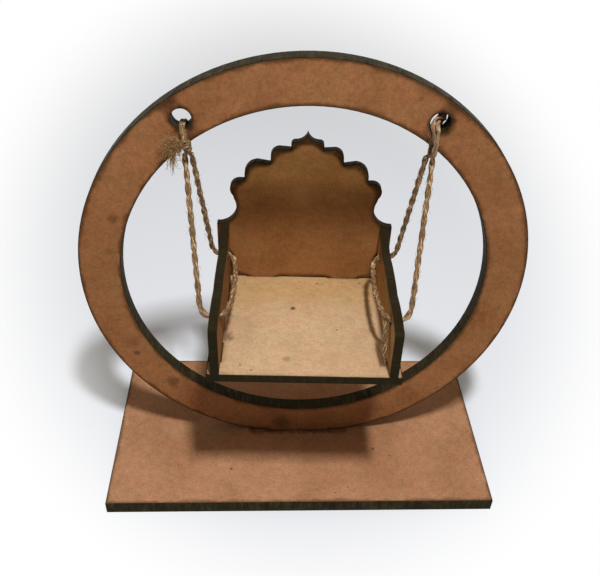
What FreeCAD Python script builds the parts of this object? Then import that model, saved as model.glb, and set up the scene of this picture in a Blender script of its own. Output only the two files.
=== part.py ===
"""Table-top indoor swing (jhula): a round stand of laser-cut board with a small seat hung on twine.

The origin is on the table, under the middle of the base. Seen from the front, X runs to the right,
Y to the back and Z up. The ring stands in the plane Y = 0, and left and right are as seen so.
"""
import FreeCAD, Part
import math
import os

os.makedirs("parts", exist_ok=True)
V = FreeCAD.Vector

# Boards and twine
stand_board = 5.5          # thickness of the ring and of the base
seat_board = 3.0           # thickness of the seat's four boards
twine_diameter = 2.0
twine_sides = 12           # flats round the twine, which is thin enough to look round
fit = 0.1                  # room on each side of a tab in its slot
twine_room = 0.3           # room between the twine and the board that it goes through
twine_gap = 0.2            # room between the twine and an edge that it goes round
overrun = 1.0              # how far a cutting tool runs past a face

# Base plate
base_width = 152.0
base_depth = 83.0

# Ring
ring_radius = 80.0
ring_band = 14.7           # width of the ring's band
ring_sink = 2.0            # how much of the circle the flat foot cuts off
ring_tab_width = 26.0      # tab under the foot, in the slot of the base
hang_hole_diameter = 6.5
hang_hole_angle = 33.5     # degrees from the top of the ring

# Hitch of the twine under the band, which is what the seat swings about
knot_diameter = 4.0        # the tied knot on the left, and the crossing of the twine on the right
knot_width = 4.0           # along the line that the seat swings about
pivot_offset = 39.0        # from the middle of the ring, sideways
pivot_drop = 3.7           # under the inner edge of the band, along the ring's radius

# Seat
floor_width = 66.0
floor_depth = 63.0
side_lip = 1.5             # how far the floor and the back stand out past the sides
side_height = 18.6
seat_forward = 40.3        # front edge of the floor, in front of the ring's middle plane
seat_height = 71.6         # top of the floor at its front edge, over the table
seat_lean = 1.8            # degrees that the seat hangs tipped to the back
seat_turn = 1.6            # degrees that it hangs turned, its right side to the front
back_height = 59.4         # tip of the back over the floor
side_hole_height = 15.0
side_hole_front = 12.0     # front hole, from the front edge
side_hole_rear = 8.0       # rear hole, from the back board

# Tabs of the seat's boards
floor_tab = 10.0           # length of the side boards' tabs, in the floor
back_tab = 7.0             # height of the side boards' tabs, in the back
foot_tab = 12.0            # width of the back's tabs, in the floor
foot_tab_place = 16.0      # middle of the back's tabs, from the middle of the seat
back_tab_height = 7.0      # middle of the side boards' tab in the back, over the floor

# Twine on the seat
hole_turn = 2.4            # radius of the twine's turn at each hole of a side board
front_turn_out = 3.4       # how far outside the side board the front strand turns up
rear_turn_out = 2.5        # the same for the rear strand
turn_in = 2.5              # how far inside the side board the twine turns at both holes
slack_in = 3.8             # how far inside the side board the twine hangs between the holes
slack_drop = 1.6           # how far it sags there under the line from hole to hole
slack_place_share = 0.6    # where it does so, from the front hole to the rear one

# Loose ends of the twine
tail_length = 12.0
tail_lean = 37.0           # degrees to the front, from straight down
tail_top_diameter = 2.8
tail_tip_diameter = 0.7
tuft_length = 5.5
tuft_root_diameter = 1.8
tuft_end_diameter = 4.6

# Sizes that follow from the ones above
ring_inner = ring_radius - ring_band
ring_centre = stand_board + ring_radius - ring_sink
hang_hole_circle = ring_radius - ring_band / 2
hang_hole_x = hang_hole_circle * math.sin(math.radians(hang_hole_angle))
hang_hole_z = ring_centre + hang_hole_circle * math.cos(math.radians(hang_hole_angle))
pivot_height = ring_centre + math.sqrt((ring_inner - pivot_drop) ** 2 - pivot_offset ** 2)
side_inner = floor_width / 2 - side_lip - seat_board
side_depth = floor_depth - seat_board
side_hole_diameter = twine_diameter + 2 * twine_room

# The side board's top edge, from the front to the back board, as shares of its depth and height.
# Each row is one arc: the point that it goes through, then its end.
side_top_shares = [
    ((0.009, 0.980), (0.030, 1.000)),
    ((0.195, 1.048), (0.362, 1.008)),
    ((0.556, 1.066), (0.746, 1.034)),
    ((0.880, 1.105), (1.000, 1.270)),
]
side_corner_share = 0.925  # height at which the front corner starts to turn in

# The back board's edge, from its shoulder up to the tip, as shares of half its width and of its
# height. A row with one point is a straight cut, and a row with two is an arc.
back_edge_shares = [
    [(1.000, 0.392)],
    [(0.976, 0.392)],
    [(0.802, 0.454), (0.800, 0.566)],
    [(0.811, 0.588)],
    [(0.832, 0.656), (0.721, 0.690)],
    [(0.682, 0.690)],
    [(0.679, 0.732)],
    [(0.635, 0.790), (0.530, 0.815)],
    [(0.397, 0.803)],
    [(0.394, 0.848)],
    [(0.367, 0.884), (0.297, 0.901)],
    [(0.176, 0.896)],
    [(0.176, 0.923)],
    [(0.161, 0.939), (0.127, 0.945)],
    [(0.047, 0.960), (0.000, 1.000)],
]


def box(x_low, x_high, y_low, y_high, z_low, z_high):
    size = (x_high - x_low, y_high - y_low, z_high - z_low)
    return Part.makeBox(*size, V(x_low, y_low, z_low))


def cord_wire(points, turns):
    """Straight runs joined by tangent arcs. Where a turn is None, its arc is as large as fits."""
    points = [V(*point) for point in points]
    edges = []
    radii = []
    start = points[0]
    for before, corner, after, turn in zip(points, points[1:], points[2:], turns):
        back = (before - corner).normalize()
        ahead = (after - corner).normalize()
        half_turn = (math.pi - back.getAngle(ahead)) / 2
        shorter = min((before - corner).Length, (after - corner).Length)
        radius = turn or 0.45 * shorter / math.tan(half_turn)
        reach = radius * math.tan(half_turn)
        arc_start = corner + back * reach
        arc_end = corner + ahead * reach
        inward = (back + ahead).normalize()
        arc_middle = corner + inward * (radius / math.cos(half_turn) - radius)
        edges.append(Part.LineSegment(start, arc_start).toShape())
        edges.append(Part.Arc(arc_start, arc_middle, arc_end).toShape())
        radii.append(radius)
        start = arc_end
    edges.append(Part.LineSegment(start, points[-1]).toShape())
    return Part.Wire(edges), radii


def twine_section(start, ahead):
    """Outline of the cut twine, with its middle at start."""
    aside = ahead.cross(V(1, 0, 0)).normalize() * (twine_diameter / 2)
    other = ahead.cross(aside).normalize() * (twine_diameter / 2)
    step = 2 * math.pi / twine_sides
    corners = [start + aside * math.cos(step * i) + other * math.sin(step * i)
               for i in range(twine_sides)]
    return Part.makePolygon(corners + corners[:1])


def cord_tube(name, points, turns):
    """Twine along a route. It prints its arcs' radii and how true its volume is."""
    wire, radii = cord_wire(points, turns)
    start = V(*points[0])
    section = twine_section(start, V(*points[1]) - start)
    tube = wire.makePipeShell([section], True, False)
    expected = Part.Face(section).Area * wire.Length
    print(name, "radii", [round(radius, 2) for radius in radii], "length", round(wire.Length, 2),
          "volume over section times length", round(tube.Volume / expected, 4))
    print(name, "points", [tuple(round(value, 2) for value in V(*point)) for point in points])
    return tube


def base_plate():
    """Flat board with the slot that the ring's tab goes through."""
    plate = box(-base_width / 2, base_width / 2, -base_depth / 2, base_depth / 2, 0, stand_board)
    slot_half = ring_tab_width / 2 + fit
    slot_side = stand_board / 2 + fit
    slot = box(-slot_half, slot_half, -slot_side, slot_side, -overrun, stand_board + overrun)
    return plate.cut(slot)


def ring_frame():
    """Ring with a flat foot, a tab under it and a hole on each side for the twine."""
    start = V(0, -stand_board / 2, ring_centre)
    ring = Part.makeCylinder(ring_radius, stand_board, start, V(0, 1, 0))
    below = box(-ring_radius, ring_radius, -stand_board, stand_board, -ring_radius, stand_board)
    ring = ring.cut(below)
    tab_half = ring_tab_width / 2
    tab = box(-tab_half, tab_half, -stand_board / 2, stand_board / 2, 0, stand_board)
    ring = ring.fuse(tab).removeSplitter()
    cut_start = start - V(0, overrun, 0)
    cut_length = stand_board + 2 * overrun
    ring = ring.cut(Part.makeCylinder(ring_inner, cut_length, cut_start, V(0, 1, 0)))
    for side in (-1, 1):
        hole_start = V(side * hang_hole_x, cut_start.y, hang_hole_z)
        hole = Part.makeCylinder(hang_hole_diameter / 2, cut_length, hole_start, V(0, 1, 0))
        ring = ring.cut(hole)
    return ring


def hitch(side, room):
    """The knot's barrel, with room added all round it. It lies on the line that the seat turns on."""
    length = knot_width + 2 * room
    start = V(side * pivot_offset - length / 2, 0, pivot_height)
    return Part.makeCylinder(knot_diameter / 2 + room, length, start, V(1, 0, 0))


def ring_loop(side):
    """Twine that goes through the ring's hole and round the band under it, and its hitch or knot."""
    stand_off = twine_diameter / 2 + twine_gap
    leg = stand_board / 2 + stand_off
    top = hang_hole_z - hang_hole_diameter / 2 + stand_off
    turn_x = pivot_offset + twine_gap
    edge = ring_centre + math.sqrt(ring_inner ** 2 - (turn_x + twine_diameter / 2) ** 2)
    turn = edge - stand_off
    end = pivot_height + twine_diameter / 4
    points = [
        (side * pivot_offset, -twine_gap, end),
        (side * turn_x, -leg, turn),
        (side * hang_hole_x, -leg, top),
        (side * hang_hole_x, leg, top),
        (side * turn_x, leg, turn),
        (side * pivot_offset, twine_gap, end),
    ]
    name = "ring loop, left" if side < 0 else "ring loop, right"
    tube = cord_tube(name, points, [stand_off] * 4)
    return tube.fuse(hitch(side, 0))


def place_seat(shape):
    """Hang a shape, drawn from the middle of the floor's front top edge, leaning and a little turned."""
    shape.rotate(V(0, 0, 0), V(1, 0, 0), -seat_lean)
    shape.translate(V(0, -seat_forward, seat_height))
    shape.rotate(V(0, 0, 0), V(0, 0, 1), -seat_turn)
    return shape


def side_tab_places():
    """Middles of a side board's two tabs in the floor, from the front edge."""
    return [side_depth / 5, side_depth * 4 / 5]


def seat_floor():
    """Board with slots for the sides and two notches at the rear for the back."""
    half = floor_width / 2
    floor = box(-half, half, 0, floor_depth, -seat_board, 0)
    for side in (-1, 1):
        middle = side * (side_inner + seat_board / 2)
        slot_half = seat_board / 2 + fit
        for place in side_tab_places():
            reach = floor_tab / 2 + fit
            slot = box(middle - slot_half, middle + slot_half, place - reach, place + reach,
                       -seat_board - overrun, overrun)
            floor = floor.cut(slot)
        foot = side * foot_tab_place
        foot_half = foot_tab / 2 + fit
        notch = box(foot - foot_half, foot + foot_half, side_depth - fit, floor_depth + overrun,
                    -seat_board - overrun, overrun)
        floor = floor.cut(notch)
    return place_seat(floor)


def side_panel(side):
    """Arm board with a waved top edge, tabs below and behind, and two holes for the twine."""
    def at(depth, height):
        return V(side * side_inner, depth, height)

    top = [[at(side_depth * depth, side_height * height) for depth, height in row]
           for row in side_top_shares]
    corner = at(0, side_height * side_corner_share)
    edges = [Part.LineSegment(at(0, 0), corner).toShape()]
    start = corner
    for through, end in top:
        edges.append(Part.Arc(start, through, end).toShape())
        start = end
    tab_low = back_tab_height - back_tab / 2
    tab_high = back_tab_height + back_tab / 2
    outline = [start, at(side_depth, tab_high), at(floor_depth, tab_high), at(floor_depth, tab_low),
               at(side_depth, tab_low), at(side_depth, 0)]
    for place in reversed(side_tab_places()):
        outline += [at(place + floor_tab / 2, 0), at(place + floor_tab / 2, -seat_board),
                    at(place - floor_tab / 2, -seat_board), at(place - floor_tab / 2, 0)]
    outline.append(at(0, 0))
    for first, second in zip(outline, outline[1:]):
        edges.append(Part.LineSegment(first, second).toShape())
    panel = Part.Face(Part.Wire(edges)).extrude(V(side * seat_board, 0, 0))
    for place in (side_hole_front, side_depth - side_hole_rear):
        start = V(side * (side_inner - overrun), place, side_hole_height)
        hole = Part.makeCylinder(side_hole_diameter / 2, seat_board + 2 * overrun, start,
                                 V(side, 0, 0))
        panel = panel.cut(hole)
    return place_seat(panel)


def back_half_edge(side):
    """Edges of the scalloped outline on one side, from the shoulder to the tip, and its ends."""
    half = floor_width / 2

    def at(share):
        return V(side * half * share[0], side_depth, back_height * share[1])

    edges = []
    start = at(back_edge_shares[0][0])
    shoulder = start
    for row in back_edge_shares[1:]:
        points = [at(share) for share in row]
        if len(points) == 1:
            edges.append(Part.LineSegment(start, points[0]).toShape())
        else:
            edges.append(Part.Arc(start, *points).toShape())
        start = points[-1]
    return edges, shoulder


def seat_back():
    """High back board: three scallops and a cove on each side, and a pointed tip in the middle."""
    half = floor_width / 2
    right_edges, right_shoulder = back_half_edge(1)
    left_edges, left_shoulder = back_half_edge(-1)

    def at(x, z):
        return V(x, side_depth, z)

    outline = [left_shoulder, at(-half, 0)]
    for middle in (-foot_tab_place, foot_tab_place):
        outline += [at(middle - foot_tab / 2, 0), at(middle - foot_tab / 2, -seat_board),
                    at(middle + foot_tab / 2, -seat_board), at(middle + foot_tab / 2, 0)]
    outline += [at(half, 0), right_shoulder]
    edges = right_edges + left_edges
    for first, second in zip(outline, outline[1:]):
        edges.append(Part.LineSegment(first, second).toShape())
    wire = Part.Wire(Part.__sortEdges__(edges))
    back = Part.Face(wire).extrude(V(0, seat_board, 0))
    for side in (-1, 1):
        middle = side * (side_inner + seat_board / 2)
        slot_half = seat_board / 2 + fit
        reach = back_tab / 2 + fit
        slot = box(middle - slot_half, middle + slot_half, side_depth - overrun,
                   floor_depth + overrun, back_tab_height - reach, back_tab_height + reach)
        back = back.cut(slot)
    return place_seat(back)


def sling_route(side):
    """From the hitch to the front hole, back along the board's inside, and up from the rear hole."""
    def hole_point(x, depth):
        return place_seat(Part.Vertex(side * x, depth, side_hole_height)).Point

    outside = side_inner + seat_board
    front = side_hole_front
    rear = side_depth - side_hole_rear
    slack_place = front + (rear - front) * slack_place_share
    end = pivot_height + twine_diameter / 4
    half = twine_diameter / 2
    return [
        V(side * (pivot_offset + half), -twine_room, end),
        hole_point(outside + front_turn_out, front),
        hole_point(side_inner - turn_in, front),
        hole_point(side_inner - slack_in, slack_place) - V(0, 0, slack_drop),
        hole_point(side_inner - turn_in, rear),
        hole_point(outside + rear_turn_out, rear),
        V(side * (pivot_offset - half), twine_room, end),
    ]


def sling(side):
    """Twine from the hitch through both holes of a side board and up to the hitch again."""
    turns = [hole_turn, hole_turn, None, hole_turn, hole_turn]
    name = "sling, left" if side < 0 else "sling, right"
    tube = cord_tube(name, sling_route(side), turns)
    return tube.cut(hitch(side, twine_room))


def twine_tuft():
    """Frayed ends of the left knot, fanned out in front of the band."""
    leg = stand_board / 2 + twine_diameter / 2 + twine_gap
    clear_of_leg = twine_diameter / 2 + twine_room
    root = V(-hang_hole_x - clear_of_leg, -leg - twine_gap, hang_hole_z - hang_hole_diameter)
    end_y = -stand_board / 2 - tuft_end_diameter / 2 - twine_room
    end = root + V(-tuft_length, end_y - root.y, -tuft_root_diameter)
    way = end - root
    return Part.makeCone(tuft_root_diameter / 2, tuft_end_diameter / 2, way.Length, root, way)


def twine_tail():
    """Tied ends of the right twine, hanging inside the side board from its front hole."""
    side_room = side_inner - twine_room - tail_top_diameter / 2
    top = side_hole_height - twine_diameter
    root = V(side_room, side_hole_front, top)
    lean = math.radians(tail_lean)
    way = V(0, -tail_length * math.sin(lean), -tail_length * math.cos(lean))
    tail = Part.makeCone(tail_top_diameter / 2, tail_tip_diameter / 2, way.Length, root, way)
    return place_seat(tail)


nodes = {
    "base_plate": base_plate(),
    "ring_frame": ring_frame(),
    "twine_loop_left": ring_loop(-1),
    "twine_loop_right": ring_loop(1),
    "twine_tuft_left": twine_tuft(),
    "seat_floor": seat_floor(),
    "seat_back": seat_back(),
    "side_panel_left": side_panel(-1),
    "side_panel_right": side_panel(1),
    "twine_sling_left": sling(-1),
    "twine_sling_right": sling(1),
    "twine_tail_right": twine_tail(),
}
for node, shape in nodes.items():
    print(node, "valid", shape.isValid(), "solids", len(shape.Solids), "volume", round(shape.Volume, 1))
    shape.exportStep("parts/" + node + ".step")
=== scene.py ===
import bmesh
import bpy
import math
import numpy as np
import random
from mathutils import Matrix, Vector


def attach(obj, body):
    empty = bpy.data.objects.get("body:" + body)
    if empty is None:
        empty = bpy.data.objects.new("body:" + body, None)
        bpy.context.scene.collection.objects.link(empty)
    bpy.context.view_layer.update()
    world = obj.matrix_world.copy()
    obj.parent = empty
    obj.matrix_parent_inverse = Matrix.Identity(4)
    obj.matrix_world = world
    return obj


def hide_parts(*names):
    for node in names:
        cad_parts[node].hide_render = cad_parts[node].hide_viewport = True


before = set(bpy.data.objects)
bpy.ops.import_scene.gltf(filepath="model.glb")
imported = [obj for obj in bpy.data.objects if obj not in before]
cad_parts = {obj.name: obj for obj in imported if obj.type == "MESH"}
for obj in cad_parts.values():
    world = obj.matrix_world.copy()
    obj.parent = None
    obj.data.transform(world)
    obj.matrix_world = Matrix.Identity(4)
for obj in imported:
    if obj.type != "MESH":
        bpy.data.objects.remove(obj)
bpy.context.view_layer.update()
mm = 0.001
random.seed(7)


# ---- Base plate ----
# A plain rectangle of 5.5 mm brown fibreboard that lies on the table. The laser leaves its edges
# charred olive-black, and a little smoke on the faces beside them. The ring is glued in its slot.
base_top = 5.5
grid_step = 1.5 * mm        # how finely a board's faces are divided, to carry its smoke marks
touching = 0.001 * mm       # corners nearer than this are one corner
rim_bevel = 0.12 * mm       # the laser leaves corners that are only just rounded
soot_spread = 2.2 * mm      # how far the smoke of a cut drifts over the face
soot_step = 0.4 * mm        # how finely a cut is divided, to add up its smoke
char_colour = (0.018, 0.013, 0.005, 1)      # a cut wall
ash_colour = (0.066, 0.052, 0.022, 1)       # the olive bloom on it
# The same colour paints the smudges on the boards: some are smoke, some are painted shade.
smoke_and_shade_colour = (0.050, 0.022, 0.008, 1)     # the stain beside it
speck_colour = (0.080, 0.036, 0.014, 1)     # dark specks in the board
base_colour = (0.380, 0.198, 0.110, 1)


def is_broad(face, across):
    """Whether a face is one of a board's two broad ones, and not the wall of a cut."""
    return abs(face.normal.dot(across)) > 0.99


def rim_edges(bm, across):
    """Every edge between a broad face and the wall of a cut."""
    rims = []
    for edge in bm.edges:
        broad = [is_broad(face, across) for face in edge.link_faces]
        if any(broad) and not all(broad):
            rims.append(edge)
    return rims


def distances(points, starts, ends):
    """How far each point is from the nearest of the segments, in metres."""
    nearest = np.full(len(points), 1.0)
    for start, end in zip(starts, ends):
        way = end - start
        share = np.clip((points - start) @ way / max(way @ way, 1e-12), 0, 1)
        gap = np.linalg.norm(points - start - share[:, None] * way, axis=1)
        nearest = np.minimum(nearest, gap)
    return nearest


def soot(points, starts, ends):
    """Smoke that settles on each point, added up over all the cuts.

    It is 1 beside a straight cut, and more in a notch or at a small hole.
    """
    total = np.zeros(len(points))
    for start, end in zip(starts, ends):
        length = np.linalg.norm(end - start)
        count = max(1, round(length / soot_step))
        for i in range(count):
            spot = start + (end - start) * (i + 0.5) / count
            near = np.exp(-((points - spot) ** 2).sum(1) / (2 * soot_spread ** 2))
            total += near * length / count
    return total / (soot_spread * math.sqrt(2 * math.pi))


def laser_cut(node, name, across, ways):
    """A board in its node's own shape, with its corners just rounded.

    across is the way through the board, and ways are the two ways along its face. Each point of
    the mesh knows its distance from the nearest cut, and the smoke that settles on it.
    """
    bm = bmesh.new()
    bm.from_mesh(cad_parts[node].data)
    bmesh.ops.remove_doubles(bm, verts=bm.verts, dist=touching)
    bmesh.ops.dissolve_limit(bm, angle_limit=math.radians(0.5), verts=bm.verts, edges=bm.edges)
    rims = rim_edges(bm, across)
    starts = [np.array(edge.verts[0].co) for edge in rims]
    ends = [np.array(edge.verts[1].co) for edge in rims]
    bmesh.ops.bevel(bm, geom=rims, offset=rim_bevel, offset_type="OFFSET", segments=1,
                    affect="EDGES", profile=0.5, material=-1, clamp_overlap=True)
    for way in ways:
        places = [way.dot(vert.co) for vert in bm.verts]
        low = math.floor(min(places) / grid_step)
        high = math.ceil(max(places) / grid_step)
        for i in range(low, high + 1):
            bmesh.ops.bisect_plane(bm, geom=bm.verts[:] + bm.edges[:] + bm.faces[:],
                                   dist=touching, plane_co=way * (i * grid_step), plane_no=way)
    bm.normal_update()
    on_face = np.array([all(is_broad(face, across) for face in vert.link_faces)
                        for vert in bm.verts])
    mesh = bpy.data.meshes.new(name)
    bm.to_mesh(mesh)
    bm.free()
    points = np.array([vert.co for vert in mesh.vertices])
    cut = np.where(on_face, distances(points, starts, ends) / mm, 0)
    mesh.attributes.new("cut_distance", "FLOAT", "POINT").data.foreach_set("value", cut)
    smoke = soot(points, starts, ends)
    mesh.attributes.new("soot", "FLOAT", "POINT").data.foreach_set("value", smoke)
    mesh.shade_smooth()
    mesh.set_sharp_from_angle(angle=math.radians(30))
    board = bpy.data.objects.new(name, mesh)
    bpy.context.scene.collection.objects.link(board)
    return board


def shader_node(tree, kind, sockets=None, **settings):
    """Adds a node.

    sockets gives an input, by its name or number, a value or the output that feeds it.
    """
    made = tree.nodes.new(kind)
    for name, value in settings.items():
        setattr(made, name, value)
    for key, value in (sockets or {}).items():
        if isinstance(value, bpy.types.NodeSocket):
            tree.links.new(value, made.inputs[key])
        else:
            made.inputs[key].default_value = value
    return made


def mix_colour(tree, share, first, second, kind="MIX"):
    """Two colours mixed by a share, or blended in another way."""
    made = shader_node(tree, "ShaderNodeMix", {0: share, 6: first, 7: second},
                       data_type="RGBA", blend_type=kind)
    return made.outputs[2]


def calculate(tree, operation, *values):
    """One sum on numbers or outputs."""
    made = shader_node(tree, "ShaderNodeMath", dict(enumerate(values)), operation=operation)
    return made.outputs[0]


def fade(tree, value, low, high, from_share=0.0, to_share=1.0):
    """A smooth step: from_share where value is low, to_share where it is high."""
    made = shader_node(tree, "ShaderNodeMapRange",
                       {"Value": value, 1: low, 2: high, 3: from_share, 4: to_share},
                       interpolation_type="SMOOTHSTEP")
    return made.outputs[0]


def noise(tree, coordinates, scale, detail=3.0, roughness=0.55):
    """Noise from 0 to 1. A scale of 1000 gives spots about a millimetre across."""
    made = shader_node(tree, "ShaderNodeTexNoise", {"Vector": coordinates, "Scale": scale,
                                                    "Detail": detail, "Roughness": roughness})
    return made.outputs[0]


def stretched(tree, coordinates, scale, offset=(0, 0, 0)):
    """Coordinates that draw a pattern out along each axis whose scale is under 1."""
    made = shader_node(tree, "ShaderNodeMapping",
                       {"Vector": coordinates, "Scale": scale, "Location": offset})
    return made.outputs[0]


def effect(name, inputs, outputs):
    """An empty node group, with its named inputs and outputs."""
    tree = bpy.data.node_groups.new(name, "ShaderNodeTree")
    for label, kind, value in inputs:
        made = tree.interface.new_socket(label, in_out="INPUT", socket_type="NodeSocket" + kind)
        if value is not None:
            made.default_value = value
    for label, kind in outputs:
        tree.interface.new_socket(label, in_out="OUTPUT", socket_type="NodeSocket" + kind)
    return tree, tree.nodes.new("NodeGroupInput"), tree.nodes.new("NodeGroupOutput")


def fibreboard_effect():
    """The mottled face of pressed wood fibre: stains, warm and yellow patches, fibres, specks."""
    tree, given, result = effect(
        "fibreboard face",
        [("Vector", "Vector", None), ("Colour", "Color", base_colour), ("Stains", "Float", 0.3),
         ("Grain", "Float", 0.3)],
        [("Colour", "Color"), ("Height", "Float")])
    where = given.outputs["Vector"]
    # Brown stains some 25 mm across.
    stain = fade(tree, noise(tree, where, 42, 5, 0.6), 0.38, 0.72)
    dark = mix_colour(tree, 1.0, given.outputs["Colour"], (0.60, 0.50, 0.42, 1), "MULTIPLY")
    colour = mix_colour(tree, calculate(tree, "MULTIPLY", stain, given.outputs["Stains"]),
                        given.outputs["Colour"], dark)
    # Patches of 7 mm, some a little redder and some a little yellower.
    warmth = noise(tree, stretched(tree, where, (1, 1, 1), (3.1, 1.7, 0.9)), 150, 4, 0.6)
    tint = mix_colour(tree, fade(tree, warmth, 0.32, 0.68), (1.03, 0.975, 0.97, 1),
                      (0.975, 1.005, 0.95, 1))
    colour = mix_colour(tree, 1.0, colour, tint, "MULTIPLY")
    # Grain: mottling of 3 mm, flecks of 0.8 mm, and fibres of 0.4 mm that lie both ways.
    mottle = noise(tree, where, 330, 4, 0.65)
    fleck = noise(tree, where, 1250, 3, 0.7)
    long_fibre = noise(tree, stretched(tree, where, (1, 0.22, 0.22)), 2600, 2)
    cross_fibre = noise(tree, stretched(tree, where, (0.22, 1, 1)), 2600, 2)
    grain = calculate(tree, "ADD", calculate(tree, "MULTIPLY", mottle, 0.40),
                      calculate(tree, "MULTIPLY", fleck, 0.45))
    fibres = calculate(tree, "ADD", long_fibre, cross_fibre)
    grain = calculate(tree, "MULTIPLY_ADD", fibres, 0.20, grain)
    shade = fade(tree, grain, 0.40, 0.85, -1.0, 1.0)
    shade = calculate(tree, "MULTIPLY_ADD", shade, given.outputs["Grain"], 1.0)
    colour = mix_colour(tree, 1.0, colour, shade, "MULTIPLY")
    # A few dark specks, 5 mm and more apart.
    speck = shader_node(tree, "ShaderNodeTexVoronoi", {"Vector": where, "Scale": 190.0}).outputs[0]
    ragged = calculate(tree, "MULTIPLY_ADD", fleck, 0.10, speck)
    speck = fade(tree, ragged, 0.15, 0.09)
    few = fade(tree, noise(tree, where, 75, 1), 0.55, 0.62)
    speck = calculate(tree, "MULTIPLY", speck, few)
    colour = mix_colour(tree, calculate(tree, "MULTIPLY", speck, 0.7), colour, speck_colour)
    tree.links.new(colour, result.inputs["Colour"])
    tree.links.new(grain, result.inputs["Height"])
    return tree


def scorch_effect():
    """What the laser leaves: smoke beside each cut, more of it in notches, and charred walls."""
    tree, given, result = effect(
        "laser scorch",
        [("Vector", "Vector", None), ("Colour", "Color", base_colour),
         ("Cut distance", "Float", 5.0), ("Soot", "Float", 0.0), ("Reach", "Float", 1.6),
         ("Smoke", "Float", 0.6), ("Notch smoke", "Float", 0.8), ("Wall vector", "Vector", None)],
        [("Colour", "Color"), ("Char", "Float"), ("Height", "Float")])
    where = given.outputs["Vector"]
    # Smoke beside each cut, wider in some stretches than in others.
    drift = noise(tree, where, 130, 4, 0.6)
    reach = calculate(tree, "MULTIPLY", given.outputs["Reach"],
                      fade(tree, drift, 0.30, 0.75, 0.45, 1.8))
    near = shader_node(tree, "ShaderNodeMapRange",
                       {"Value": given.outputs["Cut distance"], 1: 0.0, 2: reach, 3: 1.0, 4: 0.0},
                       interpolation_type="SMOOTHERSTEP").outputs[0]
    smoked = mix_colour(tree, calculate(tree, "MULTIPLY", near, given.outputs["Smoke"]),
                        given.outputs["Colour"], smoke_and_shade_colour)
    # Darker smoke where two cuts meet in a notch, and round small holes.
    notch = fade(tree, given.outputs["Soot"], 0.80, 1.50)
    notch = calculate(tree, "MULTIPLY", notch, fade(tree, drift, 0.25, 0.60, 0.6, 1.0))
    notch = calculate(tree, "MULTIPLY", notch, given.outputs["Notch smoke"])
    smoked = mix_colour(tree, notch, smoked, smoke_and_shade_colour)
    # Charred walls, with an olive bloom in streaks across the board's thickness.
    grain = noise(tree, given.outputs["Wall vector"], 900, 3, 0.6)
    patches = noise(tree, where, 260, 3)
    ash = calculate(tree, "MULTIPLY", fade(tree, grain, 0.30, 0.80),
                    fade(tree, patches, 0.35, 0.70, 0.25, 1.0))
    ash = calculate(tree, "MULTIPLY", ash, fade(tree, given.outputs["Soot"], 1.10, 1.60, 1.0, 0.1))
    walls = mix_colour(tree, ash, char_colour, ash_colour)
    ragged = calculate(tree, "MULTIPLY_ADD", noise(tree, where, 700, 2), 0.14,
                       given.outputs["Cut distance"])
    char = fade(tree, ragged, 0.30, 0.14)
    tree.links.new(mix_colour(tree, char, smoked, walls), result.inputs["Colour"])
    tree.links.new(char, result.inputs["Char"])
    tree.links.new(grain, result.inputs["Height"])
    return tree


fibreboard = fibreboard_effect()
scorch = scorch_effect()


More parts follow.
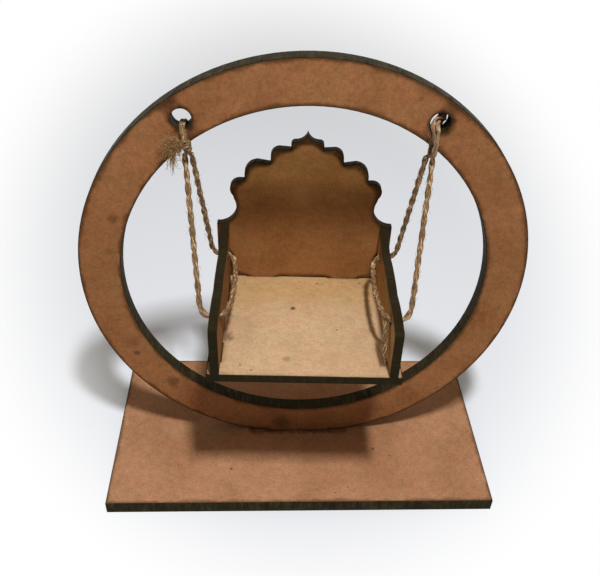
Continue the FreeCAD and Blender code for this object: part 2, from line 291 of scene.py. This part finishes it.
def board_material(name, colour, stains, grain, reach, smoke, notch_smoke, wall_scale, marks=(),
                   band=None):
    """Bare fibreboard with its laser marks.

    reach is how far the smoke goes from a cut, in millimetres. smoke and notch_smoke say how dark
    it is beside a cut and in a notch. wall_scale draws the char out across the board's thickness.
    Each mark is a smudge: its place and radius in millimetres, and its strength. A band is a part
    of the board in another tint, with a third tint beyond it. It has its axis, its place on that
    axis and half its width in millimetres, and the two tints. Some marks and bands are painted
    shade or painted light, as said where they are given.
    """
    material = bpy.data.materials.new(name)
    material.use_nodes = True
    tree = material.node_tree
    tree.nodes.clear()
    where = shader_node(tree, "ShaderNodeTexCoord").outputs["Object"]
    face = shader_node(tree, "ShaderNodeGroup", node_tree=fibreboard)
    tree.links.new(where, face.inputs["Vector"])
    face.inputs["Colour"].default_value = colour
    face.inputs["Stains"].default_value = stains
    face.inputs["Grain"].default_value = grain
    bare = face.outputs["Colour"]
    if band:
        axis, level, half, tint, beyond_tint = band
        waver = 8       # how far the band's edges wander, in millimetres
        level += waver / 2
        along = shader_node(tree, "ShaderNodeSeparateXYZ", {0: where}).outputs[axis]
        along = calculate(tree, "MULTIPLY_ADD", noise(tree, where, 60, 3), waver * mm, along)
        share = calculate(tree, "ABSOLUTE", calculate(tree, "SUBTRACT", along, level * mm))
        bare = mix_colour(tree, fade(tree, share, half * mm, 0.0), bare,
                          mix_colour(tree, 1.0, bare, tint, "MULTIPLY"))
        beyond = fade(tree, along, (level + 2) * mm, (level + 2 + 0.9 * half) * mm)
        bare = mix_colour(tree, beyond, bare, mix_colour(tree, 1.0, bare, beyond_tint, "MULTIPLY"))
    # Smudges in the smoke colour: smoke, and on some boards painted shade.
    for place, radius, strength in marks:
        away = shader_node(tree, "ShaderNodeVectorMath", {0: where, 1: Vector(place) * mm},
                           operation="DISTANCE").outputs["Value"]
        away = calculate(tree, "MULTIPLY_ADD", noise(tree, where, 700, 3), radius * mm, away)
        share = fade(tree, away, 1.5 * radius * mm, 0.7 * radius * mm, 0.0, strength)
        bare = mix_colour(tree, share, bare, smoke_and_shade_colour)
    scorched = shader_node(tree, "ShaderNodeGroup", node_tree=scorch)
    tree.links.new(where, scorched.inputs["Vector"])
    tree.links.new(stretched(tree, where, wall_scale), scorched.inputs["Wall vector"])
    tree.links.new(bare, scorched.inputs["Colour"])
    for socket, attribute in (("Cut distance", "cut_distance"), ("Soot", "soot")):
        read = shader_node(tree, "ShaderNodeAttribute", attribute_name=attribute)
        tree.links.new(read.outputs["Fac"], scorched.inputs[socket])
    scorched.inputs["Reach"].default_value = reach
    scorched.inputs["Smoke"].default_value = smoke
    scorched.inputs["Notch smoke"].default_value = notch_smoke
    height = shader_node(tree, "ShaderNodeMix",
                         {0: scorched.outputs["Char"], 2: face.outputs["Height"],
                          3: scorched.outputs["Height"]}).outputs[0]
    bump = shader_node(tree, "ShaderNodeBump", {"Strength": 0.35, "Distance": 0.12 * mm,
                                                "Height": height})
    rough = fade(tree, scorched.outputs["Char"], 0.0, 1.0, 0.75, 0.52)
    surface = shader_node(tree, "ShaderNodeBsdfPrincipled",
                          {"Base Color": scorched.outputs["Colour"], "Roughness": rough,
                           "Normal": bump.outputs[0]})
    surface.inputs["Specular IOR Level"].default_value = 0.03
    shader_node(tree, "ShaderNodeOutputMaterial", {"Surface": surface.outputs[0]})
    return material


right = Vector((1, 0, 0))
back = Vector((0, 1, 0))
up = Vector((0, 0, 1))

base_marks_and_painted_shade = [((-28.0, -24.5, base_top), 1.0, 0.8), ((31.0, -14.0, base_top), 1.0, 0.8)]
# Along the foot of the ring the strip is partly smoke and partly painted shade: the dark shadow
# line under the ring.
for i in range(-6, 7):      # smoke on the base along the foot of the ring
    base_marks_and_painted_shade.append(((3.2 * i, -3.4, base_top), 3.0, 0.6))

base_board = laser_cut("base_plate", "base_board", up, (right, back))
base_board.data.materials.append(
    board_material("base fibreboard", base_colour, stains=0.50, grain=0.26, reach=2.0,
                   smoke=0.60, notch_smoke=0.30, wall_scale=(1, 1, 0.12), marks=base_marks_and_painted_shade))
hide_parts("base_plate")
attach(base_board, "stand")


# ---- Ring ----
# A flat hoop of the same 5.5 mm board, cut in one piece with the tab that stands in the base.
# Its face is a darker, redder brown, with smoke marks round the two holes for the twine.
ring_colour = (0.312, 0.138, 0.056, 1)
ring_front = -2.75      # its front face
ring_middle = 83.5      # height of its middle
rim_smoke = 85          # radius on which the smoke along the outer rim lies
ring_smudges_and_painted_shadow = (        # x, z, radius and strength of each smudge on the front face
    (-51.3, 34.1, 3.6, 0.55), (-51.0, 31.5, 3.0, 0.30), (-64.0, 49.1, 1.8, 0.60),
    (-64.5, 54.7, 4.2, 0.22), (-65.1, 108.8, 2.8, 0.40), (-7.2, 10.2, 5.5, 0.55),
    # The two broad smudges low on the right, at 29.5 and 44.5 across, are painted shadow: the
    # seat's shadow on the ring's face.
    (44.3, 15.6, 1.8, 0.45), (33.0, 151.5, 1.5, 0.25), (29.5, 17.0, 8.0, 0.30),
    (44.5, 26.0, 8.0, 0.20),
    # Round the right hole.
    (43.7, 144.8, 1.9, 0.75), (42.6, 141.4, 1.7, 0.65), (38.2, 141.4, 1.2, 0.45),
    # Round the left hole.
    (-43.6, 143.6, 1.1, 0.65), (-41.6, 140.4, 1.3, 0.65), (-37.4, 141.6, 1.5, 0.70),
    (-37.0, 145.4, 1.1, 0.45), (-40.3, 148.0, 1.0, 0.40))

ring_marks = [((x, ring_front, z), radius, strength) for x, z, radius, strength in ring_smudges_and_painted_shadow]
for angle in range(96, 190, 9):     # darker smoke along the outer rim, at its upper left
    turn = math.radians(angle)
    place = (rim_smoke * math.cos(turn), ring_front, ring_middle + rim_smoke * math.sin(turn))
    ring_marks.append((place, 6.0, 0.32))

ring_board = laser_cut("ring_frame", "ring_board", back, (right, up))
# The band paints the ring's upper part up to 17% lighter: painted light, for the stronger light on
# its top.
ring_board.data.materials.append(
    board_material("ring fibreboard", ring_colour, stains=0.60, grain=0.26, reach=1.9,
                   smoke=0.70, notch_smoke=0.95, wall_scale=(1, 0.12, 1), marks=ring_marks,
                   band=("Z", 90, 60, (1, 1, 1, 1), (1.17, 1.17, 1.22, 1))))
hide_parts("ring_frame")
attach(ring_board, "stand")


# ---- Twine round the ring ----
# Two-ply jute twine goes through each hole and is caught under the band. On the left two thin ends
# are tied in a small knot at the band's lower edge. On the right they lie flat over each other.
twine_lay = 9.0 * mm            # length of one full twist of the two plies
ply_radius = 0.66 * mm
ply_offset = 0.37 * mm          # of each ply from the twine's middle
thin_ply_radius = 0.42 * mm     # where the twine is pulled tight, on the left
thin_ply_offset = 0.27 * mm
flat_ply_radius = 0.46 * mm     # where it lies flat, on the right
flat_ply_offset = 0.26 * mm
fuzz_radius = 0.036 * mm
jute_colour = (0.210, 0.120, 0.052, 1)
hitch_colour = (0.330, 0.195, 0.105, 1)
frayed_colour = (0.400, 0.215, 0.085, 1)
pale_fibre = (0.78, 0.54, 0.31, 1)
# Painted shade for the low gaps between the fibres.
gap_shade_colour = (0.062, 0.034, 0.016, 1)
brown_stretch = (0.110, 0.060, 0.026, 1)


def smooth_line(route):
    """Points along the smooth line that a route steers, in metres. The route is in millimetres."""
    curve = bpy.data.curves.new("twine line", "CURVE")
    curve.dimensions = "3D"
    curve.resolution_u = 24
    spline = curve.splines.new("NURBS")
    spline.points.add(len(route) - 1)
    for point, place in zip(spline.points, route):
        point.co = (*(Vector(place) * mm), 1)
    spline.order_u = 3
    spline.use_endpoint_u = True
    holder = bpy.data.objects.new("twine line", curve)
    bpy.context.scene.collection.objects.link(holder)
    bpy.context.view_layer.update()
    line = bpy.data.meshes.new_from_object(holder)
    points = np.array([vert.co for vert in line.vertices])
    bpy.data.objects.remove(holder)
    bpy.data.meshes.remove(line)
    return points


def places_along(points):
    """How far along its line each point lies."""
    gaps = np.linalg.norm(np.diff(points, axis=0), axis=1)
    return np.concatenate([[0], np.cumsum(gaps)])


def evenly(points, step):
    """The same line with its points step apart, and how far along it each lies."""
    along = places_along(points)
    places = np.linspace(0, along[-1], max(2, round(along[-1] / step)))
    return np.stack([np.interp(places, along, points[:, axis]) for axis in range(3)], 1), places


def ways_ahead(points):
    """The line's direction at each of its points."""
    ahead = np.gradient(points, axis=0)
    ahead /= np.linalg.norm(ahead, axis=1)[:, None]
    return ahead


def side_ways(points):
    """Two directions square to the line at each of its points, which don't turn about it."""
    ahead = ways_ahead(points)
    not_along = [0.31, 0.52, 0.79]      # any direction that no route starts in
    first = np.cross(ahead[0], not_along)
    sides = []
    for way in ahead:
        first = first - way * (first @ way)
        first /= np.linalg.norm(first)
        sides.append((first, np.cross(way, first)))
    return np.array([side[0] for side in sides]), np.array([side[1] for side in sides])


def threads(lines, radii, sides):
    """One mesh of round threads. Each line is a list of points, with a list of as many radii."""
    curve = bpy.data.curves.new("threads", "CURVE")
    curve.dimensions = "3D"
    curve.bevel_depth = 1
    curve.bevel_resolution = sides
    for line, radius in zip(lines, radii):
        spline = curve.splines.new("POLY")
        spline.points.add(len(line) - 1)
        spline.points.foreach_set("co", np.column_stack([line, np.ones(len(line))]).ravel())
        spline.points.foreach_set("radius", np.asarray(radius, float))
    holder = bpy.data.objects.new("threads", curve)
    bpy.context.scene.collection.objects.link(holder)
    bpy.context.view_layer.update()
    mesh = bpy.data.meshes.new_from_object(holder)
    bpy.data.objects.remove(holder)
    return mesh


def plies(points, radius=ply_radius, offset=ply_offset, count=2):
    """The plies of a twine along a line, twisted round each other and a little uneven."""
    line, places = evenly(points, 0.35 * mm)
    one, other = side_ways(line)
    found = []
    for start in np.arange(count) * 2 * math.pi / count:
        turn = start + 2 * math.pi * places / twine_lay
        long_swell = 0.06 * np.sin(places / (3.1 * mm) + start)
        short_swell = 0.05 * np.sin(places / (1.3 * mm))
        ring = one * np.cos(turn)[:, None] + other * np.sin(turn)[:, None]
        found.append((line + ring * offset, radius * (1 + long_swell + short_swell)))
    return found


def fuzz(points, count, longest, depth=0.75 * mm, plain_end=0.0):
    """Loose fibres that stand out from a twine, most of them short.

    They are rooted at a depth from its middle, and further than plain_end from its ends.
    """
    step = 0.5 * mm
    line, _ = evenly(points, step)
    one, other = side_ways(line)
    ahead = ways_ahead(line)
    found = []
    first = round(plain_end / step)
    for _ in range(count):
        at = random.randrange(first, len(line) - first)
        turn = random.uniform(0, 2 * math.pi)
        out = one[at] * math.cos(turn) + other[at] * math.sin(turn)
        way = ahead[at] * random.choice((-1, 1)) + out * random.uniform(0.15, 0.8)
        aside = np.cross(way, out) * random.uniform(-0.5, 0.5)
        length = 1.2 * longest * random.uniform(0.3, 1.0) ** 1.5
        start = line[at] + out * depth
        steps = np.linspace(0, 1, 6)[:, None]
        lift = 1 - 0.45 * steps
        fibre = start + way * length * steps * lift + aside * length * steps ** 2
        found.append((fibre, fuzz_radius * random.uniform(0.8, 1.5) * (1 - 0.5 * steps[:, 0])))
    return found


def twine_mesh(name, ply_lines, hairs):
    """A mesh object of plies and fibres, each a line with its radii.

    Each point of it knows its place as if its thread lay straight, which the jute's pattern uses.
    """
    joined = bmesh.new()
    for group, sides in ((ply_lines, 2), (hairs, 0)):
        if not group:
            continue
        mesh = threads([line for line, _ in group], [radius for _, radius in group], sides)
        ring = len(mesh.vertices) // sum(len(line) for line, _ in group)
        straight = []
        for number, (line, radius) in enumerate(group):
            along = places_along(line) + number * 0.037     # no two threads look the same
            for place, thick in zip(along, radius):
                for corner in range(ring):
                    turn = 2 * math.pi * corner / ring + place / (1.1 * mm)
                    straight.append((thick * math.cos(turn), thick * math.sin(turn), place))
        mesh.attributes.new("straight", "FLOAT_VECTOR", "POINT").data.foreach_set(
            "vector", np.array(straight).ravel())
        joined.from_mesh(mesh)
        bpy.data.meshes.remove(mesh)
    open_ends = [edge for edge in joined.edges if edge.is_boundary]
    bmesh.ops.holes_fill(joined, edges=open_ends, sides=10)
    mesh = bpy.data.meshes.new(name)
    joined.to_mesh(mesh)
    joined.free()
    mesh.shade_smooth()
    piece = bpy.data.objects.new(name, mesh)
    bpy.context.scene.collection.objects.link(piece)
    return piece


def jute_material(name, colour_between, pale_share):
    """Jute: brown fibres that lie along each ply, some pale, with painted shade in the low gaps
    between them.
    """
    material = bpy.data.materials.new(name)
    material.use_nodes = True
    tree = material.node_tree
    tree.nodes.clear()
    lie = shader_node(tree, "ShaderNodeAttribute", attribute_name="straight").outputs["Vector"]
    fine = noise(tree, stretched(tree, lie, (1, 1, 0.07)), 4200, 3, 0.6)
    coarse = noise(tree, stretched(tree, lie, (1, 1, 0.25)), 1500, 2, 0.6)
    fibres = calculate(tree, "MULTIPLY_ADD", coarse, 0.70, calculate(tree, "MULTIPLY", fine, 0.30))
    stretches = noise(tree, lie, 140, 2)
    pale = fade(tree, fibres, 0.49, 0.62, 0.0, pale_share)
    # Painted shade: the low parts of the fibre pattern, which also sink the bump, are darkened.
    deep = fade(tree, fibres, 0.47, 0.35)
    colour = mix_colour(tree, pale, colour_between, pale_fibre)
    colour = mix_colour(tree, deep, colour, gap_shade_colour)
    colour = mix_colour(tree, fade(tree, stretches, 0.40, 0.70, 0.0, 0.50), colour, brown_stretch)
    bump = shader_node(tree, "ShaderNodeBump", {"Strength": 0.8, "Distance": 0.15 * mm,
                                                "Height": fibres})
    surface = shader_node(tree, "ShaderNodeBsdfPrincipled",
                          {"Base Color": colour, "Roughness": 0.8, "Normal": bump.outputs[0]})
    surface.inputs["Specular IOR Level"].default_value = 0.25
    shader_node(tree, "ShaderNodeOutputMaterial", {"Surface": surface.outputs[0]})
    return material


jute = jute_material("jute twine", jute_colour, pale_share=0.80)
hitch_jute = jute_material("jute of the hitches", hitch_colour, pale_share=0.75)
frayed_jute = jute_material("frayed jute", frayed_colour, pale_share=0.60)


def tied(routes, radius, offset):
    """Plies and fibres of several short lengths of twine. Each route is in millimetres."""
    ply_lines = []
    hairs = []
    for route in routes:
        line = smooth_line(route)
        ply_lines += plies(line, radius, offset)
        length = places_along(line)[-1]
        hairs += fuzz(line, 34, 2.6 * mm, depth=radius + 0.3 * offset,
                      plain_end=min(5 * mm, 0.3 * length))
    return ply_lines, hairs


def left_loop_route(aside):
    """From under the band up its front, through the hole, down its back and under it again."""
    return [(aside - 39.0, -0.4, 131.7), (aside - 38.9, -3.7, 133.4), (aside - 39.1, -4.0, 137.4),
            (aside - 40.0, -3.6, 141.6), (aside - 39.8, 3.6, 141.7), (aside - 39.2, 3.7, 137.0),
            (aside - 39.0, 3.7, 133.4), (aside - 39.0, 0.4, 131.7)]


# The knot's twine winds up round the left loop's two legs, in front of the band.
knot_x, knot_y, knot_z = -38.7, -4.4, 134.9
first_turn, last_turn = -1.2, 9.4
knot_route = [(math.cos(turn) + knot_x, 0.8 * math.sin(turn) + knot_y,
               knot_z + 0.26 * (turn - first_turn))
              for turn in np.linspace(first_turn, last_turn, 20)]

# Two strands go through the right hole, and a short end lies over its far edge.
right_routes = [
    [(39.0, -0.4, 131.7), (39.0, -3.5, 133.4), (39.3, -3.6, 137.2), (38.2, -4.0, 141.0),
     (37.3, -3.7, 144.0), (39.0, -1.6, 145.6), (41.2, 0.6, 144.9), (42.2, 3.7, 142.6),
     (39.5, 3.7, 133.4), (39.2, 0.4, 131.7)],
    [(39.3, -0.4, 131.7), (39.4, -4.1, 133.4), (39.7, -4.5, 137.0), (39.6, -4.6, 141.4),
     (39.1, -3.7, 143.9), (40.2, 0.0, 143.6), (41.0, 3.6, 142.1), (39.1, 3.7, 133.4),
     (39.0, 0.4, 131.7)],
    [(39.8, -0.6, 143.0), (40.1, 0.8, 145.4), (41.5, 1.9, 145.7), (42.6, 2.8, 144.8),
     (42.7, 3.7, 142.4)]]
right_fray = [(37.3, -4.0, 138.5), (37.2, -4.2, 141.0), (38.2, -4.2, 144.0)]

left_plies, left_hairs = tied([left_loop_route(-0.46), left_loop_route(0.46), knot_route],
                              thin_ply_radius, thin_ply_offset)
right_plies, right_hairs = tied(right_routes, flat_ply_radius, flat_ply_offset)
right_hairs += fuzz(smooth_line(right_fray), 60, 2.2 * mm, depth=0.5 * mm)

for name, node, ply_lines, hairs, material in (
        ("twine_on_ring_left", "twine_loop_left", left_plies, left_hairs, jute),
        ("twine_on_ring_right", "twine_loop_right", right_plies, right_hairs, hitch_jute)):
    piece = twine_mesh(name, ply_lines, hairs)
    piece.data.materials.append(material)
    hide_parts(node)
    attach(piece, "stand")


# ---- Frayed ends of the left knot ----
# The twine's ends come out of the knot to the left. They have come untwisted into a small fluffy
# tuft of curly fibres, which lies against the front of the band and hangs over its lower edge.
tuft_fibres = 230
tuft_fibre_radius = 0.1 * mm
tuft_front = -3.0 * mm      # every fibre stays in front of this, and so of the band
tuft_root = np.array((-39.8, -4.5, 136.4)) * mm
hanging_root = np.array((-42.9, -4.2, 136.0)) * mm

tuft = []
for i in range(tuft_fibres):
    hangs = i % 6 == 0
    reach = (random.uniform(4.0, 8.4) if hangs else random.uniform(2.4, 7.4)) * mm
    turn = math.radians(random.gauss(266, 8) if hangs else random.gauss(186, 30))
    way = np.array((math.cos(turn), -random.uniform(0.0, 0.30), math.sin(turn)))
    steps = np.linspace(0, 1, 9)
    curl = random.uniform(0.2, 0.8) * mm if hangs else random.uniform(0.6, 2.2) * mm
    phase = random.uniform(0, 6.3)
    wave = np.stack([np.cos(phase + steps * 8) * curl,
                     np.sin(phase * 2 + steps * 5) * curl * 0.5,
                     np.sin(phase + steps * 8) * curl], 1) * steps[:, None]
    root = hanging_root if hangs else tuft_root
    fibre = root + way * reach * steps[:, None] + wave
    fibre[:, 2] -= steps ** 2 * random.uniform(0.0, 1.2) * mm
    fibre[:, 1] = np.minimum(fibre[:, 1], tuft_front)
    tuft.append((fibre, tuft_fibre_radius * random.uniform(0.4, 1.1) * (1 - 0.4 * steps)))
frayed_ends = twine_mesh("frayed_ends_left", [], tuft)
frayed_ends.data.materials.append(frayed_jute)
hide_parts("twine_tuft_left")
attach(frayed_ends, "stand")


# ---- Seat ----
# Four boards of 3 mm fibreboard, tabbed into each other and glued: a pale floor, a darker back with
# a scalloped top, and two side boards. The seat hangs tipped a little to the back, and turned.
seat_lean = Matrix.Rotation(math.radians(-1.8), 3, "X")
seat_turn = Matrix.Rotation(math.radians(-1.6), 3, "Z")
seat_right = seat_turn @ right
seat_back_way = seat_turn @ seat_lean @ back
seat_up = seat_turn @ seat_lean @ up
floor_colour = (0.540, 0.365, 0.219, 1)
back_colour = (0.315, 0.142, 0.052, 1)
# Painted light: the right side board is painted paler and the left darker, to even out the lamp's
# light, which falls more on the left board's inside.
side_colours_with_painted_light = {"left": (0.280, 0.140, 0.060, 1), "right": (0.500, 0.300, 0.130, 1)}
floor_marks = (
    ((-3.8, -1.7, 70.4), 1.5, 0.95), ((-6.9, -31.1, 71.3), 2.2, 0.35),
    ((6.1, 15.2, 69.9), 0.9, 0.60), ((8.0, 14.8, 69.9), 0.7, 0.60),
    ((22.5, 15.4, 69.8), 0.9, 0.60), ((-28.1, -19.0, 71.0), 4.0, 0.60),
    ((-18.9, -36.9, 71.5), 0.8, 0.50), ((-22.7, -34.3, 71.4), 0.7, 0.50))

seat_floor_board = laser_cut("seat_floor", "seat_floor_board", seat_up,
                             (seat_right, seat_back_way))
# The band makes the floor darker and yellower over its rear part.
seat_floor_board.data.materials.append(
    board_material("seat floor fibreboard", floor_colour, stains=0.28, grain=0.20, reach=0.8,
                   smoke=0.35, notch_smoke=0.20, wall_scale=(1, 1, 0.12), marks=floor_marks,
                   band=("Y", -8, 15.6, (1, 1, 1, 1), (0.90, 0.86, 0.70, 1))))
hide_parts("seat_floor")

# The back's band is painted shade and light: the darker band across its middle is the painted
# shadow of the ring's top, and the scalloped top above it is painted lighter, standing in for the
# lamp's light that the ring keeps off it.
seat_back_board = laser_cut("seat_back", "seat_back_board", seat_back_way, (seat_right, seat_up))
seat_back_board.data.materials.append(
    board_material("seat back fibreboard", back_colour, stains=0.45, grain=0.24, reach=0.9,
                   smoke=0.35, notch_smoke=0.95, wall_scale=(1, 0.12, 1),
                   band=("Z", 98, 16, (0.64, 0.60, 0.54, 1), (1.85, 2.05, 1.95, 1))))
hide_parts("seat_back")

side_boards = []
for side, colour in side_colours_with_painted_light.items():
    board = laser_cut("side_panel_" + side, "side_board_" + side, seat_right,
                      (seat_back_way, seat_up))
    board.data.materials.append(
        board_material(side + " side fibreboard", colour, stains=0.45, grain=0.26, reach=1.1,
                       smoke=0.40, notch_smoke=0.50, wall_scale=(0.12, 1, 1)))
    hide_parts("side_panel_" + side)
    side_boards.append(board)

for board in (seat_floor_board, seat_back_board, *side_boards):
    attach(board, "seat")


# ---- Twine that carries the seat ----
# From each hitch one strand runs down to the front hole of a side board, goes through, lies slack
# along the board's inside, and comes out of the rear hole and up to the hitch again.
left_route = [(-40.0, -0.3, 131.68), (-39.01, -6.33, 121.36), (-36.53, -21.54, 95.31),
              (-35.66, -26.85, 86.22), (-26.77, -27.1, 86.22), (-24.8, -3.16, 83.86),
              (-25.65, 12.87, 84.96), (-33.65, 13.09, 84.96), (-34.52, 10.53, 94.3),
              (-37.0, 3.24, 120.9), (-38.0, 0.3, 131.68)]
right_route = [(40.0, -0.3, 131.68), (38.66, -6.77, 121.36), (35.29, -23.1, 95.31),
               (34.11, -28.8, 86.22), (25.21, -28.55, 86.22), (24.58, -4.53, 83.86),
               (26.33, 11.41, 84.96), (34.33, 11.19, 84.96), (35.06, 9.01, 94.3),
               (37.16, 2.8, 120.9), (38.0, 0.3, 131.68)]
for name, node, route in (("twine_on_seat_left", "twine_sling_left", left_route),
                          ("twine_on_seat_right", "twine_sling_right", right_route)):
    line = smooth_line(route)
    strands = []
    for position, radius in plies(line):    # each end thins as it goes into the hitch
        from_end = np.minimum(np.arange(len(radius)), np.arange(len(radius))[::-1])
        strands.append((position, radius * np.clip(0.72 + 0.14 * from_end, 0, 1)))
    piece = twine_mesh(name, strands, fuzz(line, 420, 3.2 * mm, plain_end=8 * mm))
    piece.data.materials.append(jute)
    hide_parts(node)
    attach(piece, "seat")


# ---- Loose ends of the right twine ----
# The tied ends of the right-hand twine come through the front hole and hang inside the side board,
# partly untwisted.
tail_route = [(26.2, -27.6, 85.2), (26.0, -29.4, 83.6), (25.9, -32.2, 80.4), (26.0, -36.6, 76.2)]
loose_ply_radius = 0.32 * mm
loose_ply_offset = 0.68 * mm

line = smooth_line(tail_route)
shown_ends = []
for position, radius in plies(line, loose_ply_radius, loose_ply_offset, count=4):
    shown_ends.append((position, radius * np.linspace(1, 0.5, len(radius))))
loose_ends = twine_mesh("loose_ends_right", shown_ends, fuzz(line, 320, 3.4 * mm, depth=0.5 * mm))
loose_ends.data.materials.append(jute)
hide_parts("twine_tail_right")
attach(loose_ends, "seat")


# ---- Table top ----
# A plain white surface, which the swing stands on and which takes its shadow. It is greyer round
# the swing; further off a glow that only the camera sees paints it pure white, as painted light for
# the brighter light there.
table_size = 6.0
paper_colour = (0.683, 0.714, 0.775, 1)
white = (1, 1, 1, 1)


def seen_ray(tree):
    """1 for what is looked at, directly or in a reflection, and 0 for the light that it gives."""
    ray = shader_node(tree, "ShaderNodeLightPath")
    return calculate(tree, "MAXIMUM", ray.outputs["Is Camera Ray"],
                     calculate(tree, "MAXIMUM", ray.outputs["Is Glossy Ray"],
                               ray.outputs["Is Transmission Ray"]))


bm = bmesh.new()
bmesh.ops.create_grid(bm, x_segments=1, y_segments=1, size=table_size / 2)
table_mesh = bpy.data.meshes.new("table_top")
bm.to_mesh(table_mesh)
bm.free()
table_top = bpy.data.objects.new("table_top", table_mesh)
bpy.context.scene.collection.objects.link(table_top)

table_material = bpy.data.materials.new("white table")
table_material.use_nodes = True
tree = table_material.node_tree
tree.nodes.clear()
where = shader_node(tree, "ShaderNodeTexCoord").outputs["Object"]
spread = stretched(tree, where, (0.917, 0.545, 1), (-0.004, -0.0563, 0))
away = shader_node(tree, "ShaderNodeVectorMath", {0: spread},
                   operation="LENGTH").outputs["Value"]
behind = shader_node(tree, "ShaderNodeSeparateXYZ", {0: where}).outputs["Y"]
depth = calculate(tree, "MAXIMUM", calculate(tree, "ADD", behind, 0.423), 0.1)
glow_share = fade(tree, calculate(tree, "DIVIDE", away, depth), 0.160, 0.326)
paper = shader_node(tree, "ShaderNodeBsdfDiffuse", {"Color": paper_colour})
glow = shader_node(tree, "ShaderNodeEmission", {"Color": white, "Strength": 1.0})
table_mix = shader_node(tree, "ShaderNodeMixShader",
                        {0: calculate(tree, "MULTIPLY", seen_ray(tree), glow_share),
                         1: paper.outputs[0], 2: glow.outputs[0]})
shader_node(tree, "ShaderNodeOutputMaterial", {"Surface": table_mix.outputs[0]})
table_mesh.materials.append(table_material)


# ---- Light ----
# One small lamp near by, high in front and a little to the right, and a soft warm surround that is
# brighter overhead than at the sides.
lamp_place = Vector((46, -205, 548)) * mm
lamp_aim = Vector((0, 0, 60)) * mm
lamp_energy = 8.8
surround_colour = (1, 0.91, 0.78, 1)
side_strength = 0.03
overhead_strength = 0.46

key = bpy.data.lights.new("key", "AREA")
key.shape = "RECTANGLE"
key.size = 36 * mm
key.size_y = 60 * mm
key.energy = lamp_energy
key.use_nodes = True
tree = key.node_tree
tree.nodes.clear()
even = shader_node(tree, "ShaderNodeLightFalloff", {"Strength": 1.0}).outputs["Constant"]
shine = shader_node(tree, "ShaderNodeEmission", {"Color": white, "Strength": even})
shader_node(tree, "ShaderNodeOutputLight", {"Surface": shine.outputs[0]})
lamp = bpy.data.objects.new("key", key)
lamp_way = (lamp_place - lamp_aim).to_track_quat("Z", "Y")
lamp.matrix_world = Matrix.Translation(lamp_place) @ lamp_way.to_matrix().to_4x4()
bpy.context.scene.collection.objects.link(lamp)

world = bpy.data.worlds.new("surround")
bpy.context.scene.world = world
world.use_nodes = True
tree = world.node_tree
tree.nodes.clear()
way = shader_node(tree, "ShaderNodeTexCoord").outputs["Generated"]
height = shader_node(tree, "ShaderNodeSeparateXYZ", {0: way}).outputs["Z"]
strength = fade(tree, height, 0.0, 0.95, side_strength, overhead_strength)
soft = shader_node(tree, "ShaderNodeBackground", {"Color": surround_colour, "Strength": strength})
backdrop = shader_node(tree, "ShaderNodeBackground", {"Color": white, "Strength": 1.0})
surround = shader_node(tree, "ShaderNodeMixShader", {0: seen_ray(tree), 1: soft.outputs[0],
                                                     2: backdrop.outputs[0]})
shader_node(tree, "ShaderNodeOutputWorld", {"Surface": surround.outputs[0]})


# ---- Camera ----
# It stands in front of the swing and looks down on it, as in the photograph.
camera_place = Vector((-14.028, -218.193, 237.923)) * mm
camera_turn = -0.0618       # to the right, in radians
camera_down = 0.7116        # under the horizon
camera_roll = 0.0422

camera_data = bpy.data.cameras.new("camera")
camera_data.sensor_width = 36
camera_data.lens = 43.82
camera_data.shift_y = 0.1
camera_data.clip_start = 0.01
camera = bpy.data.objects.new("camera", camera_data)
camera.matrix_world = (Matrix.Translation(camera_place)
                       @ Matrix.Rotation(camera_turn, 4, "Z")
                       @ Matrix.Rotation(math.pi / 2 - camera_down, 4, "X")
                       @ Matrix.Rotation(camera_roll, 4, "Z"))
bpy.context.scene.collection.objects.link(camera)
bpy.context.scene.camera = camera
bpy.context.scene.view_settings.view_transform = "Standard"
